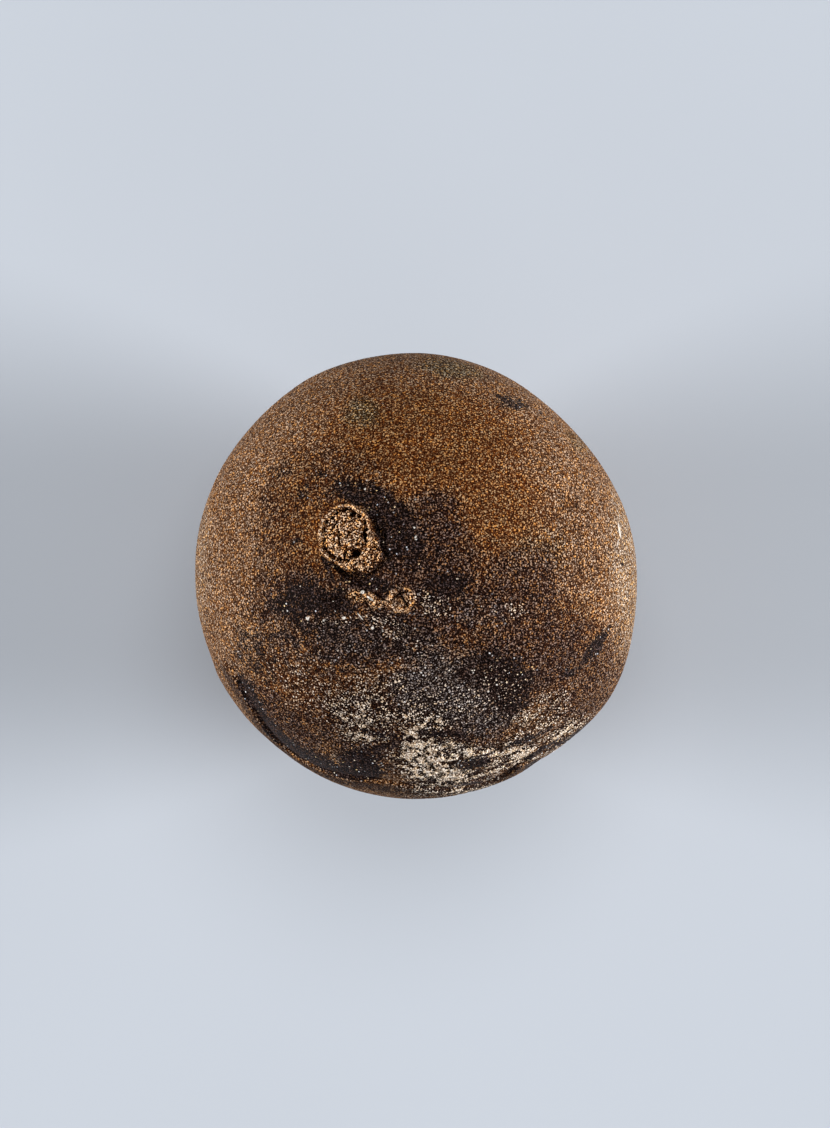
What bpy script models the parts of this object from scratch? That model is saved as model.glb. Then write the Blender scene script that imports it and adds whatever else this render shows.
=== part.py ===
"""Palm seed: one round, dry seed with its stalk scar uppermost, lying on a small flat spot.

The script works in metres with +Z up. Sizes are written as millimetres times MM.
The scar side looks up, and places on it are given as distances from the middle of the
seed, seen from above: x to the right and y away from the reader.
"""

import math

import bmesh
import bpy
import numpy as np

MM = 0.001

# Body: half its width, breadth and height, before the flat spot is taken off
HALF_X = 10.76 * MM
HALF_Y = 10.83 * MM
HALF_Z = 10.55 * MM
FLAT_DEPTH = 0.36 * MM

# Broad swellings and flats: azimuth, elevation and half-width in degrees, then height
SWELLS = {
    "flat to the upper right": (44, 2, 28, -0.41 * MM),
    "bulge to the lower right": (-32, 4, 17, 0.36 * MM),
    "swelling at the upper left": (117, 8, 11, 0.14 * MM),
    "swelling at the left": (163, 8, 26, 0.09 * MM),
    "hollow side at the lower left": (232, 4, 20, -0.08 * MM),
    "hidden flat": (150, -48, 30, -0.22 * MM),
    "hidden swelling": (-20, -50, 26, 0.12 * MM),
}

# Dents in the upper side: x, y, half-length, half-width, turn in degrees, depth
DENTS = {
    "right of the stalk scar": (-0.7 * MM, 2.2 * MM, 2.4 * MM, 1.1 * MM, 100, 0.20 * MM),
    "under the carpel scars": (-2.6 * MM, -2.6 * MM, 3.2 * MM, 1.0 * MM, 4, 0.14 * MM),
    "grey hollow": (2.3 * MM, -5.3 * MM, 3.4 * MM, 2.0 * MM, -18, 0.26 * MM),
    "hollow at the lower edge": (-2.4 * MM, -8.2 * MM, 2.6 * MM, 1.2 * MM, -8, 0.16 * MM),
    "furrow between the scars": (-2.5 * MM, -0.34 * MM, 0.95 * MM, 0.30 * MM, -20, 0.22 * MM),
    "pocket left of the ridge": (-3.65 * MM, -1.30 * MM, 0.62 * MM, 0.34 * MM, -20, 0.24 * MM),
}

# Stalk scar: a low pad with a ring of bundle scars round a corky plug. A shoulder lies
# against its lower right side, and a gap runs round that side of the shoulder
STALK_X = -3.48 * MM
STALK_Y = 1.90 * MM
RING_HALF_X = 1.20 * MM
RING_HALF_Y = 1.42 * MM
PAD_HEIGHT = 0.16 * MM
RIM_HEIGHT = 0.15 * MM
RIM_WIDTH = 0.13 * MM
TRENCH_INSET = 0.26 * MM
TRENCH_WIDTH = 0.12 * MM
TRENCH_DEPTH = 0.13 * MM
TRENCH_PITS = 13
TRENCH_BETWEEN_PITS = 0.3
SHOULDER_X = 0.62 * MM
SHOULDER_Y = -0.62 * MM
SHOULDER_RADIUS = 1.22 * MM
SHOULDER_HEIGHT = 0.20 * MM
GAP_WIDTH = 0.20 * MM
GAP_DEPTH = 0.20 * MM
GAP_SIDE = (1.0, -0.4)
GAP_START = 0.3

# Open pits in the stalk scar, from its middle: x, y, half-length, half-width, turn, depth
STALK_PITS = {
    "round hole": (0.39 * MM, -0.83 * MM, 0.27 * MM, 0.23 * MM, 0, 0.42 * MM),
    "curved hole": (0.88 * MM, -0.12 * MM, 0.36 * MM, 0.14 * MM, 96, 0.30 * MM),
    "upper hole": (0.38 * MM, 1.10 * MM, 0.22 * MM, 0.15 * MM, 60, 0.24 * MM),
}

# Scars of the two carpels that did not grow
CARPEL_X = -0.78 * MM
CARPEL_Y = -1.12 * MM
CARPEL_RADIUS = 0.58 * MM
CARPEL_RIM = 0.17 * MM
CARPEL_RIM_WIDTH = 0.14 * MM
RIDGE_X = -2.12 * MM
RIDGE_Y = -1.20 * MM
RIDGE_HALF_LENGTH = 0.85 * MM
RIDGE_HALF_WIDTH = 0.26 * MM
RIDGE_TURN = -28
RIDGE_HEIGHT = 0.24 * MM

# Crease round the lower edge, in degrees of azimuth. It waves up and down, and the skin
# outside it lies a little higher
CREASE_FROM = 200
CREASE_TO = 304
CREASE_FADE = 8
CREASE_ELEVATION = 16
CREASE_WAVE = 5
CREASE_WAVE_LENGTH = 52
CREASE_CREST = 210
CREASE_GROOVE = 0.10 * MM
CREASE_WIDTH = 0.34 * MM
SKIN_STEP = 0.10 * MM
SKIN_STEP_GONE_AT = -0.55
SKIN_STEP_FULL_AT = -0.05

# Mesh: the whole ball, then rounds of splitting near the scars, each over a smaller area
BALL_SUBDIVISIONS = 5
CREASE_BANDS = (1.2 * MM, 0.7 * MM)
FINE_AREAS = (
    ((STALK_X, STALK_Y, 3.1 * MM), (-1.9 * MM, -1.2 * MM, 2.6 * MM)),
    ((STALK_X, STALK_Y, 2.3 * MM), (-2.3 * MM, -1.2 * MM, 2.2 * MM)),
    ((STALK_X, STALK_Y, 1.9 * MM), (CARPEL_X, CARPEL_Y, 0.9 * MM)),
)

SEED_COLOUR = (0.150, 0.078, 0.040, 1.0)
SEED_ROUGHNESS = 0.72

# In metres: farther from a scar than any place on the seed
FAR_AWAY = 1.0


def unit(vector):
    return np.asarray(vector, float) / np.linalg.norm(vector)


def smooth_step(share):
    share = np.clip(share, 0.0, 1.0)
    return share * share * (3.0 - 2.0 * share)


def bell(distance):
    return np.exp(-(distance**2))


def spot_direction(x, y):
    """Outward direction of the place that lies at x, y when the seed is seen from above."""
    height = math.sqrt(HALF_X**2 - x**2 - y**2)
    return unit((x, y, height))


def around_spot(directions, x, y, turn=0.0):
    """Distances to the right of and beyond a spot, along the surface, turned by an angle."""
    out = spot_direction(x, y)
    right = unit(np.cross((0.0, 1.0, 0.0), out))
    beyond = np.cross(out, right)
    u = HALF_X * directions @ right
    v = HALF_X * directions @ beyond
    hidden = directions @ out < 0.0
    u = np.where(hidden, FAR_AWAY, u)
    v = np.where(hidden, FAR_AWAY, v)
    angle = math.radians(turn)
    along = u * math.cos(angle) + v * math.sin(angle)
    across = v * math.cos(angle) - u * math.sin(angle)
    return along, across


def hollow(directions, x, y, half_length, half_width, turn, depth):
    """A rounded dent or pit, turned about its own middle."""
    along, across = around_spot(directions, x, y, turn)
    return -depth * bell(np.hypot(along / half_length, across / half_width))


def body_radius(directions):
    scaled = directions / np.array((HALF_X, HALF_Y, HALF_Z))
    return 1.0 / np.linalg.norm(scaled, axis=1)


def swelling(directions, azimuth, elevation, half_width, height):
    a = math.radians(azimuth)
    e = math.radians(elevation)
    middle = np.array((math.cos(a) * math.cos(e), math.sin(a) * math.cos(e), math.sin(e)))
    apart = np.arccos(np.clip(directions @ middle, -1.0, 1.0))
    return height * bell(apart / math.radians(half_width))


def stalk_scar(directions):
    """The pad, its ring with a trench of small pits inside, and the shoulder beside it."""
    u, v = around_spot(directions, STALK_X, STALK_Y)
    ring = np.hypot(u / RING_HALF_X, v / RING_HALF_Y)
    from_rim = (ring - 1.0) * RING_HALF_X
    angle = np.arctan2(v, u)
    pad = PAD_HEIGHT * smooth_step((RIM_WIDTH - from_rim) / (2.0 * RIM_WIDTH))
    rim = RIM_HEIGHT * bell(from_rim / RIM_WIDTH)
    in_pits = 0.5 + 0.5 * np.cos(TRENCH_PITS * angle)
    share = TRENCH_BETWEEN_PITS + (1.0 - TRENCH_BETWEEN_PITS) * in_pits
    trench = TRENCH_DEPTH * share * bell((from_rim + TRENCH_INSET) / TRENCH_WIDTH)
    from_shoulder = np.hypot(u - SHOULDER_X, v - SHOULDER_Y) - SHOULDER_RADIUS
    shoulder = SHOULDER_HEIGHT * smooth_step(0.5 - from_shoulder / GAP_WIDTH)
    outside_ring = smooth_step(from_rim / RIM_WIDTH)
    to_side = (u * GAP_SIDE[0] + v * GAP_SIDE[1]) / SHOULDER_RADIUS
    on_side = smooth_step(GAP_START + to_side)
    gap = GAP_DEPTH * on_side * bell((from_shoulder - GAP_WIDTH) / GAP_WIDTH)
    return pad + rim - trench + outside_ring * (shoulder - gap)


def stalk_pits(directions):
    depth = np.zeros(len(directions))
    for x, y, half_length, half_width, turn, pit_depth in STALK_PITS.values():
        depth += hollow(
            directions, STALK_X + x, STALK_Y + y, half_length, half_width, turn, pit_depth
        )
    return depth


def carpel_scars(directions):
    u, v = around_spot(directions, CARPEL_X, CARPEL_Y)
    from_rim = np.hypot(u, v) - CARPEL_RADIUS
    round_scar = CARPEL_RIM * bell(from_rim / CARPEL_RIM_WIDTH)
    along, across = around_spot(directions, RIDGE_X, RIDGE_Y, RIDGE_TURN)
    ridge = RIDGE_HEIGHT * bell(
        np.hypot(along / RIDGE_HALF_LENGTH, across / RIDGE_HALF_WIDTH)
    )
    return round_scar + ridge


def crease_distance(directions):
    """Distance above the crease, along the surface, and how far round the edge it is in force."""
    azimuth = np.degrees(np.arctan2(directions[:, 1], directions[:, 0])) % 360.0
    elevation = np.degrees(np.arcsin(np.clip(directions[:, 2], -1.0, 1.0)))
    waves = (azimuth - CREASE_CREST) / CREASE_WAVE_LENGTH
    line = CREASE_ELEVATION + CREASE_WAVE * np.cos(2.0 * math.pi * waves)
    starts = smooth_step((azimuth - CREASE_FROM) / CREASE_FADE)
    ends = smooth_step((CREASE_TO - azimuth) / CREASE_FADE)
    return HALF_X * np.radians(elevation - line), starts * ends


def crease(directions):
    above, in_force = crease_distance(directions)
    groove = CREASE_GROOVE * bell((above - CREASE_WIDTH) / CREASE_WIDTH)
    below = smooth_step(0.5 - above / CREASE_WIDTH)
    step_fade = SKIN_STEP_FULL_AT - SKIN_STEP_GONE_AT
    near_edge = smooth_step((directions[:, 2] - SKIN_STEP_GONE_AT) / step_fade)
    return in_force * (SKIN_STEP * below * near_edge - groove)


def surface_radius(directions):
    """Distance of the skin from the middle of the seed in each direction."""
    radius = body_radius(directions)
    for lobe in SWELLS.values():
        radius += swelling(directions, *lobe)
    for dent in DENTS.values():
        radius += hollow(directions, *dent)
    radius += stalk_scar(directions) + stalk_pits(directions)
    radius += carpel_scars(directions) + crease(directions)
    return radius


def is_near(directions, areas):
    near = np.zeros(len(directions), bool)
    for x, y, reach in areas:
        u, v = around_spot(directions, x, y)
        near |= np.hypot(u, v) < reach
    return near


def split_where(ball, wanted):
    """Splits each edge whose middle is in a wanted place, and keeps all faces triangles."""
    edges = list(ball.edges)
    middles = np.array([(e.verts[0].co + e.verts[1].co).normalized() for e in edges])
    chosen = [edge for edge, near in zip(edges, wanted(middles)) if near]
    bmesh.ops.subdivide_edges(ball, edges=chosen, cuts=1, use_grid_fill=True)
    bmesh.ops.triangulate(ball, faces=ball.faces[:])


def is_near_crease(directions, band):
    above, in_force = crease_distance(directions)
    return (np.abs(above) < band) & (in_force > 0.0)


def make_ball():
    ball = bmesh.new()
    bmesh.ops.create_icosphere(ball, subdivisions=BALL_SUBDIVISIONS, radius=1.0)
    for band in CREASE_BANDS:
        split_where(ball, lambda directions, band=band: is_near_crease(directions, band))
    for areas in FINE_AREAS:
        split_where(ball, lambda directions, areas=areas: is_near(directions, areas))
    return ball


def shape_seed(ball):
    """Moves the ball's points to the skin, stands it on its flat spot and centres it."""
    directions = np.array([vertex.co.normalized() for vertex in ball.verts])
    points = directions * surface_radius(directions)[:, None]
    low, high = points.min(axis=0), points.max(axis=0)
    points[:, :2] -= (low[:2] + high[:2]) / 2.0
    points[:, 2] += HALF_Z - FLAT_DEPTH
    points[:, 2] = np.maximum(points[:, 2], 0.0)
    for vertex, point in zip(ball.verts, points):
        vertex.co = point


def seed_material():
    material = bpy.data.materials.new("seed_skin")
    material.use_nodes = True
    shader = material.node_tree.nodes["Principled BSDF"]
    shader.inputs["Base Color"].default_value = SEED_COLOUR
    shader.inputs["Roughness"].default_value = SEED_ROUGHNESS
    shader.inputs["Metallic"].default_value = 0.0
    material.diffuse_color = SEED_COLOUR
    return material


def make_seed():
    ball = make_ball()
    shape_seed(ball)
    bmesh.ops.recalc_face_normals(ball, faces=ball.faces[:])
    mesh = bpy.data.meshes.new("seed")
    ball.to_mesh(mesh)
    ball.free()
    mesh.shade_smooth()
    mesh.materials.append(seed_material())
    return bpy.data.objects.new("seed", mesh)


def main():
    for thing in list(bpy.data.objects):
        bpy.data.objects.remove(thing)
    collection = bpy.data.collections.new("palm_seed")
    bpy.context.scene.collection.children.link(collection)
    collection.objects.link(make_seed())


main()
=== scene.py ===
"""The palm seed as it looks: a dry, finely grained ball with a corky stalk scar uppermost,
dark resin stains round the scars and pale dust along the lower edge.

Everything is in metres, with +Z up. The body's sizes and the places of the scars are those
of the solid, apart from the stalk scar's ring, which is a little wider to the right. Places
on the upper side are distances from the seed's middle as seen from above, x to the right
and y away from the reader.
"""

import math

import bmesh
import bpy
import numpy as np
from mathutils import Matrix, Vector, noise


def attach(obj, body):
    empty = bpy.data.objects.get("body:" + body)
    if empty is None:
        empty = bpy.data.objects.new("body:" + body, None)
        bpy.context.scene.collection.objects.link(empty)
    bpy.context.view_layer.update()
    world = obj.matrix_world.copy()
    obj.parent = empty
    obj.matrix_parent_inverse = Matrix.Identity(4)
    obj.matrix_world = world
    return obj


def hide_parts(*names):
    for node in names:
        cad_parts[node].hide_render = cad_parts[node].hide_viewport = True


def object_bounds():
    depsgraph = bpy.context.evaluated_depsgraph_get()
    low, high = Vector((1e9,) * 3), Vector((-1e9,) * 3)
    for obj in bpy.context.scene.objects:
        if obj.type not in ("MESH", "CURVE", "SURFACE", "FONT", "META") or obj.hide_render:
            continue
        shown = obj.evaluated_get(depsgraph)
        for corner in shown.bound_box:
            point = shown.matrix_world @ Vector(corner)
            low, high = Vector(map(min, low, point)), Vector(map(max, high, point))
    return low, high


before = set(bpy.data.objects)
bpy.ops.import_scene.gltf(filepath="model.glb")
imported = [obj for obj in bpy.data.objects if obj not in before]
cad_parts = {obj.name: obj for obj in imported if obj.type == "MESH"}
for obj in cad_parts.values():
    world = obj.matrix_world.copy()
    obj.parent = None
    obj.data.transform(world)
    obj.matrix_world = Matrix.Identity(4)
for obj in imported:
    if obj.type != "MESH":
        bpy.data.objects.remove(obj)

MM = 0.001
CAD_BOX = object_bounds()

# Photograph: its scale at the seed's widest plane, and the seed's middle in it
PHOTO_WIDTH_PX = 830
PHOTO_HEIGHT_PX = 1128
PX_PER_MM = 20.6
SEED_X_PX = 416
SEED_Y_PX = 576
LENS_MM = 150
SENSOR_MM = 36

# Body: half its width, breadth and height, before the flat spot is taken off
HALF_X = 10.76 * MM
HALF_Y = 10.83 * MM
HALF_Z = 10.55 * MM
FLAT_DEPTH = 0.36 * MM

# Broad swellings and flats: azimuth, elevation and half-width in degrees, then height
SWELLS = {
    "flat to the upper right": (44, 2, 28, -0.41 * MM),
    "bulge to the lower right": (-32, 4, 17, 0.36 * MM),
    "swelling at the upper left": (117, 8, 11, 0.14 * MM),
    "swelling at the left": (163, 8, 26, 0.09 * MM),
    "hollow side at the lower left": (232, 4, 20, -0.08 * MM),
    "hidden flat": (150, -48, 30, -0.22 * MM),
    "hidden swelling": (-20, -50, 26, 0.12 * MM),
}

# Dents in the upper side: x, y, half-length, half-width, turn in degrees, depth
DENTS = {
    "right of the stalk scar": (-0.7 * MM, 2.2 * MM, 2.4 * MM, 1.1 * MM, 100, 0.20 * MM),
    "under the carpel scars": (-2.6 * MM, -2.6 * MM, 3.2 * MM, 1.0 * MM, 4, 0.14 * MM),
    "grey hollow": (2.3 * MM, -5.3 * MM, 3.4 * MM, 2.0 * MM, -18, 0.26 * MM),
    "hollow at the lower edge": (-2.4 * MM, -8.2 * MM, 2.6 * MM, 1.2 * MM, -8, 0.16 * MM),
    "furrow between the scars": (-2.5 * MM, -0.34 * MM, 0.95 * MM, 0.30 * MM, -20, 0.22 * MM),
    "pocket left of the ridge": (-3.65 * MM, -1.30 * MM, 0.62 * MM, 0.34 * MM, -20, 0.24 * MM),
    "pinhole at the right edge": (9.95 * MM, 0.85 * MM, 0.20 * MM, 0.09 * MM, 90, 0.16 * MM),
}

# Stalk scar. A row of a wander says how far an edge strays, how often round, and its phase
STALK_X = -3.40 * MM
STALK_Y = 1.90 * MM
RING_HALF_X = 1.28 * MM
RING_HALF_Y = 1.42 * MM
PAD_HEIGHT = 0.16 * MM
RIM_HEIGHT = 0.17 * MM
RIM_WIDTH = 0.08 * MM
RING_WANDER = ((0.035 * MM, 6, 1.1), (0.025 * MM, 11, 2.3))
TRENCH_INSET = 0.20 * MM
TRENCH_WIDTH = 0.075 * MM
TRENCH_DEPTH = 0.30 * MM
TRENCH_PITS = 19
TRENCH_PIT_SHIFT = 1.7
TRENCH_BETWEEN_PITS = 0.04
TRENCH_UNEVENNESS = 0.28
PIT_SHARPNESS = 2.2
SHOULDER_X = 0.56 * MM
SHOULDER_Y = -0.62 * MM
SHOULDER_RADIUS = 1.22 * MM
SHOULDER_HEIGHT = 0.20 * MM
SHOULDER_WANDER = ((0.08 * MM, 3, 0.4), (0.05 * MM, 8, 1.0))
CORKY_SIDE = (0.6, -0.8)
CORKY_SIDE_REACH = (0.55, 1.10)
GAP_WIDTH = 0.16 * MM
GAP_DEPTH = 0.26 * MM
GAP_SIDE = (1.0, -0.4)
GAP_START = 0.3

# Open pits in the stalk scar, from its middle: x, y, half-length, half-width, turn, depth
STALK_PITS = {
    "round hole": (0.54 * MM, -0.86 * MM, 0.18 * MM, 0.15 * MM, 20, 0.60 * MM),
    "curved hole": (0.92 * MM, -0.02 * MM, 0.26 * MM, 0.07 * MM, 98, 0.40 * MM),
    "upper hole": (0.40 * MM, 1.00 * MM, 0.13 * MM, 0.10 * MM, 60, 0.40 * MM),
    "upper slit": (0.02 * MM, 1.20 * MM, 0.20 * MM, 0.06 * MM, 20, 0.26 * MM),
    "long crack": (-0.26 * MM, -0.22 * MM, 0.42 * MM, 0.035 * MM, 100, 0.24 * MM),
    "middle crack": (0.28 * MM, 0.10 * MM, 0.30 * MM, 0.030 * MM, 40, 0.16 * MM),
    "cross crack": (-0.42 * MM, 0.52 * MM, 0.34 * MM, 0.030 * MM, 62, 0.16 * MM),
    "lower crack": (0.02 * MM, -0.98 * MM, 0.30 * MM, 0.045 * MM, 76, 0.24 * MM),
    "fold below": (-0.42 * MM, -1.45 * MM, 0.75 * MM, 0.06 * MM, 122, 0.16 * MM),
    "second fold": (-0.20 * MM, -1.60 * MM, 0.60 * MM, 0.05 * MM, 124, 0.14 * MM),
}

# Scars of the two carpels that did not grow
CARPEL_X = -0.78 * MM
CARPEL_Y = -1.12 * MM
CARPEL_RADIUS = 0.66 * MM
CARPEL_RIM = 0.11 * MM
CARPEL_RIM_WIDTH = 0.11 * MM
CARPEL_RIM_TILT = 0.38
CARPEL_HIGH_SIDE = -35
CARPEL_WANDER = ((0.03 * MM, 3, 0.6), (0.05 * MM, 7, 0.0))
CARPEL_PITS = {
    "crack": (-0.60 * MM, -1.22 * MM, 0.42 * MM, 0.045 * MM, -58, 0.26 * MM),
    "second crack": (-0.98 * MM, -1.02 * MM, 0.30 * MM, 0.040 * MM, 35, 0.18 * MM),
    "third crack": (-0.70 * MM, -0.86 * MM, 0.24 * MM, 0.040 * MM, 10, 0.16 * MM),
    "hollow": (-0.86 * MM, -1.10 * MM, 0.30 * MM, 0.24 * MM, 0, 0.03 * MM),
    "crack above the ridge": (-1.80 * MM, -1.02 * MM, 0.66 * MM, 0.055 * MM, -32, 0.24 * MM),
    "crack in the ridge": (-2.40 * MM, -1.30 * MM, 0.40 * MM, 0.040 * MM, -60, 0.16 * MM),
}
RIDGE_X = -2.12 * MM
RIDGE_Y = -1.20 * MM
RIDGE_HALF_LENGTH = 0.85 * MM
RIDGE_HALF_WIDTH = 0.30 * MM
RIDGE_TURN = -28
RIDGE_HEIGHT = 0.28 * MM
RIDGE_WANDER = 0.08 * MM
RIDGE_WANDER_LENGTH = 0.13 * MM
# Flaky skin left of the ridge: x, y, half-length, half-width, turn, strength
RIDGE_FLAKES = (-2.98 * MM, -1.02 * MM, 0.42 * MM, 0.30 * MM, -25, 0.62)

# Crease round the lower edge, as in the solid, with its angles in degrees. The step of skin
# below it fades in between two heights of a unit ball.
CREASE_FROM = 200
CREASE_TO = 304
CREASE_FADE = 8
CREASE_ELEVATION = 16
CREASE_WAVE = 5
CREASE_WAVE_LENGTH = 52
CREASE_CREST = 210
CREASE_GROOVE = 0.11 * MM
CREASE_WIDTH = 0.24 * MM
SKIN_STEP = 0.10 * MM
SKIN_STEP_HEIGHTS = (-0.55, -0.05)

# Fine relief, all of it cut into the solid's surface: size of its lumps, then depth
UNEVEN = ((3.2 * MM, 0.050 * MM), (1.1 * MM, 0.022 * MM), (0.45 * MM, 0.012 * MM))

# Cork on the scars, with lumps and a finer relief, and flakes on the ridge
CORK_SIZE = 0.15 * MM
FINE_CORK_SIZE = 0.6 * CORK_SIZE
CORK_DEPTH = 0.11 * MM
CORK_LUMPS = 0.75
CORK_FINENESS = 0.35
CORK_SEED = 7.3
FLAKE_SIZE = 0.18 * MM
FLAKE_DEPTH = 0.22 * MM
FLAKE_SEED = 3.1
# The scars' tone by their height, as painted shade in their pits
SCAR_FLOOR_TONE = 0.82
SCAR_TONE_RANGE = 0.40 * MM

# Crust of dust: lumps, then layers along the edge, between two azimuths in degrees
CRUST_SIZE = 0.28 * MM
CRUST_DEPTH = 0.14 * MM
CRUST_CONTRAST = 1.4
CRUST_SEEDS = (5.7, 2.9)
LAYER_LENGTH = 1.3 * MM
LAYER_HEIGHT = 0.38 * MM
LAYER_SLOPE = 0.12
LAYER_SEEDS = (0.0, 4.1)
LAYER_CONTRAST = 1.3
LAYERS_LEVEL_AT = 280
LAYERED_AZIMUTHS = (272, 296)
LEAST_LAYERED = 0.25
MORE_LAYERED = 0.60
HALF_SIZE_SHARE = 0.6

# Mesh: an even ball, then rounds of splitting, each over a smaller area. The scars' areas are
# x, y and reach, and the crust's is from azimuth to azimuth and from elevation to elevation.
BALL_SUBDIVISIONS = 7
SCAR_AREAS = (
    ((STALK_X, STALK_Y, 3.4 * MM), (-2.4 * MM, -1.4 * MM, 3.1 * MM), (9.9 * MM, 1.5 * MM, 1.5 * MM)),
    ((STALK_X, STALK_Y, 2.4 * MM), (-2.2 * MM, -1.2 * MM, 2.1 * MM), (9.9 * MM, 1.8 * MM, 1.0 * MM)),
    ((STALK_X, STALK_Y, 1.60 * MM), (CARPEL_X, CARPEL_Y, 0.8 * MM)),
)
CRUST_AREA = (234, 322, 2, 40)
CREASE_BAND = 0.8 * MM

# Places where the skin has another colour, as seen from above: x, y, half-length,
# half-width, turn in degrees, strength
# Most are stains; the dark edge of the gap, the place between the scars, the pocket and the pinhole
# are painted shade in their hollows
STAINS_AND_SHADE = {
    "above the stalk scar": (-2.75 * MM, 3.95 * MM, 1.35 * MM, 0.62 * MM, -18, 0.85),
    "corner of the stain": (-1.75 * MM, 3.35 * MM, 0.95 * MM, 0.75 * MM, -45, 1.0),
    "right of the stalk scar": (-0.72 * MM, 2.25 * MM, 1.95 * MM, 0.86 * MM, -72, 0.95),
    "dark edge of the gap": (-1.42 * MM, 1.55 * MM, 1.45 * MM, 0.26 * MM, -70, 1.0),
    "between the scars": (-2.20 * MM, -0.40 * MM, 1.30 * MM, 0.34 * MM, -22, 1.0),
    "left of the side scars": (-5.30 * MM, -1.22 * MM, 1.70 * MM, 0.80 * MM, 3, 1.0),
    "pocket": (-3.60 * MM, -1.30 * MM, 0.90 * MM, 0.60 * MM, -10, 1.0),
    "right of the side scars": (1.40 * MM, -0.50 * MM, 1.40 * MM, 0.70 * MM, 12, 1.0),
    "middle": (0.45 * MM, 0.90 * MM, 1.8 * MM, 1.1 * MM, -55, 0.46),
    "below the side scars": (-1.4 * MM, -2.7 * MM, 2.8 * MM, 1.3 * MM, -12, 0.56),
    "below the left stain": (-4.9 * MM, -2.7 * MM, 2.2 * MM, 0.8 * MM, -8, 0.55),
    "dark blotch": (4.15 * MM, -5.20 * MM, 1.85 * MM, 1.30 * MM, -68, 1.0),
    "left of the blotch": (2.80 * MM, -4.90 * MM, 1.30 * MM, 0.80 * MM, -50, 0.70),
    "streak at the right": (8.60 * MM, -3.2 * MM, 0.95 * MM, 0.36 * MM, 52, 0.95),
    "streak's middle": (8.05 * MM, -4.05 * MM, 0.45 * MM, 0.16 * MM, 46, 0.75),
    "streak's end": (7.50 * MM, -4.56 * MM, 0.42 * MM, 0.26 * MM, 35, 0.95),
    "spot at the upper right": (4.48 * MM, 8.28 * MM, 0.80 * MM, 0.55 * MM, -8, 0.68),
    "speck at the upper right": (5.95 * MM, 7.80 * MM, 0.22 * MM, 0.14 * MM, 0, 0.7),
    "spot at the upper left": (-5.5 * MM, 3.95 * MM, 0.50 * MM, 0.42 * MM, 0, 0.62),
    "second spot there": (-4.55 * MM, 4.85 * MM, 0.45 * MM, 0.30 * MM, 20, 0.45),
    "third spot there": (-6.5 * MM, 5.1 * MM, 0.64 * MM, 0.50 * MM, 0, 0.47),
    "speck at the left": (-5.9 * MM, 1.40 * MM, 0.34 * MM, 0.20 * MM, 0, 0.65),
    "mottling at the lower left": (-7.7 * MM, -3.7 * MM, 1.7 * MM, 0.8 * MM, -58, 0.52),
    "pinhole": (9.95 * MM, 0.85 * MM, 0.16 * MM, 0.10 * MM, 90, 1.0),
}
# Painted shade in the dark folds and gaps by the scars
FOLD_SHADE = {
    "left fold": (-4.20 * MM, 0.30 * MM, 0.70 * MM, 0.12 * MM, -63, 1.0),
    "right fold": (-3.70 * MM, 0.24 * MM, 0.65 * MM, 0.13 * MM, -40, 1.0),
    "gap between the scars": (-2.85 * MM, -0.40 * MM, 1.00 * MM, 0.30 * MM, -23, 1.0),
    "pocket by the ridge": (-3.50 * MM, -1.10 * MM, 0.70 * MM, 0.52 * MM, -20, 1.0),
    "left of the carpel scar": (-1.62 * MM, -0.62 * MM, 0.40 * MM, 0.22 * MM, -20, 1.0),
}
# Painted shadows in the crust: dark places, which the dust leaves bare
SHADOWS = {
    "lower dark patch": (-2.8 * MM, -8.93 * MM, 1.20 * MM, 0.68 * MM, 5, 1.0),
    "dark line above it": (-2.1 * MM, -7.5 * MM, 1.20 * MM, 0.26 * MM, -3, 0.75),
    "dark line left of the crust": (-1.5 * MM, -8.2 * MM, 0.95 * MM, 0.20 * MM, 34, 0.90),
    "line in the dust": (1.55 * MM, -7.62 * MM, 1.05 * MM, 0.22 * MM, -2, 0.95),
    "shadow in the dust": (2.72 * MM, -9.03 * MM, 0.95 * MM, 0.38 * MM, 10, 0.90),
    "line along the bottom": (2.2 * MM, -10.1 * MM, 1.15 * MM, 0.13 * MM, 6, 0.80),
    "first line at the right": (4.95 * MM, -9.3 * MM, 1.40 * MM, 0.16 * MM, 24, 1.0),
    "second line at the right": (5.1 * MM, -7.85 * MM, 1.05 * MM, 0.19 * MM, 24, 0.90),
    "third line at the right": (7.2 * MM, -7.86 * MM, 1.25 * MM, 0.15 * MM, 34, 0.90),
    "short line at the right": (6.07 * MM, -7.4 * MM, 0.50 * MM, 0.14 * MM, 15, 0.85),
    "line between them": (6.0 * MM, -8.35 * MM, 0.90 * MM, 0.12 * MM, 30, 0.85),
    "edge at the right": (7.6 * MM, -7.55 * MM, 0.90 * MM, 0.12 * MM, 42, 0.85),
}
GREYS = {
    "grey field": (1.55 * MM, -5.5 * MM, 3.1 * MM, 1.75 * MM, -14, 1.0),
    "upper grey field": (0.2 * MM, -3.6 * MM, 2.0 * MM, 1.0 * MM, -28, 0.75),
    "under the blotch": (3.6 * MM, -6.9 * MM, 1.7 * MM, 0.7 * MM, 18, 0.8),
    "left lower field": (-5.2 * MM, -3.6 * MM, 2.6 * MM, 1.2 * MM, -10, 0.40),
    "below the pocket": (-3.1 * MM, -3.1 * MM, 2.2 * MM, 1.1 * MM, -10, 0.60),
    "right of the side scars": (2.2 * MM, -1.6 * MM, 2.2 * MM, 0.9 * MM, -10, 0.45),
}
OLIVES = {
    "top spot": (1.6 * MM, 9.9 * MM, 1.50 * MM, 0.60 * MM, -8, 0.80),
    "upper left spot": (-2.65 * MM, 7.75 * MM, 0.95 * MM, 0.80 * MM, 0, 0.80),
    "right of the middle": (5.5 * MM, 0.8 * MM, 1.6 * MM, 1.3 * MM, 0, 0.50),
    "upper right edge": (8.0 * MM, 6.6 * MM, 0.9 * MM, 0.5 * MM, -50, 0.50),
}
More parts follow.
